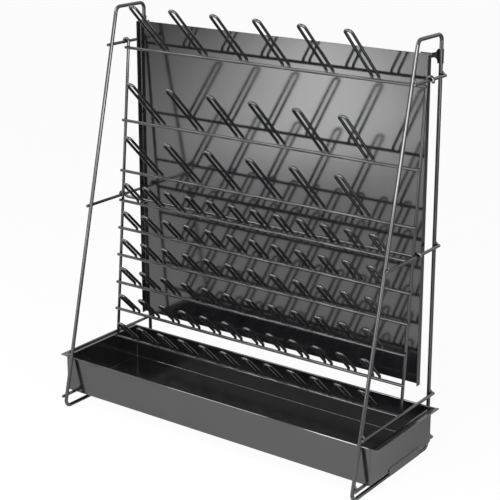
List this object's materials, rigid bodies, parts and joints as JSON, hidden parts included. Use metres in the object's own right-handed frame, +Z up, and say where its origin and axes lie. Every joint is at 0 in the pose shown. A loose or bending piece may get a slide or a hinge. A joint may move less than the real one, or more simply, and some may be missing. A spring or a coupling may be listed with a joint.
{
  "type": "laboratory glassware drying rack",
  "caption": "Free-standing wire rack with sloping pegs for drying flasks, bottles and tubes, a back panel and a drip tray below.",
  "frame": {"origin": "centre of the rack's footprint, on the surface it stands on", "axes": "+Z up, +X along the rows of pegs to the right as seen from the front, -Y the front, where the pegs point"},
  "size_m": [0.618, 0.2288, 0.6687],
  "materials": {
    "coated_wire": "gloss",
    "coated_sheet": "gloss"
  },
  "bodies": {
    "root": {"back_panel": "coated_sheet", "drip_tray": "coated_sheet", "left_grid_upright": "coated_wire", "left_lower_crossbar": "coated_wire", "left_middle_crossbar": "coated_wire", "left_side_loop": "coated_wire", "left_tray_bar": "coated_wire", "left_upper_crossbar": "coated_wire", "middle_stretcher": "coated_wire", "right_grid_upright": "coated_wire", "right_lower_crossbar": "coated_wire", "right_middle_crossbar": "coated_wire", "right_side_loop": "coated_wire", "right_tray_bar": "coated_wire", "right_upper_crossbar": "coated_wire", "row_1_pegs": "coated_wire", "row_1_wire": "coated_wire", "row_2_pegs": "coated_wire", "row_2_wire": "coated_wire", "row_3_pegs": "coated_wire", "row_3_wire": "coated_wire", "row_4_pegs": "coated_wire", "row_4_wire": "coated_wire", "row_5_pegs": "coated_wire", "row_5_wire": "coated_wire", "row_6_pegs": "coated_wire", "row_6_wire": "coated_wire", "row_7_pegs": "coated_wire", "row_7_wire": "coated_wire", "row_8_pegs": "coated_wire", "row_8_wire": "coated_wire", "row_9_pegs": "coated_wire", "row_9_wire": "coated_wire"}
  },
  "joints": []
}
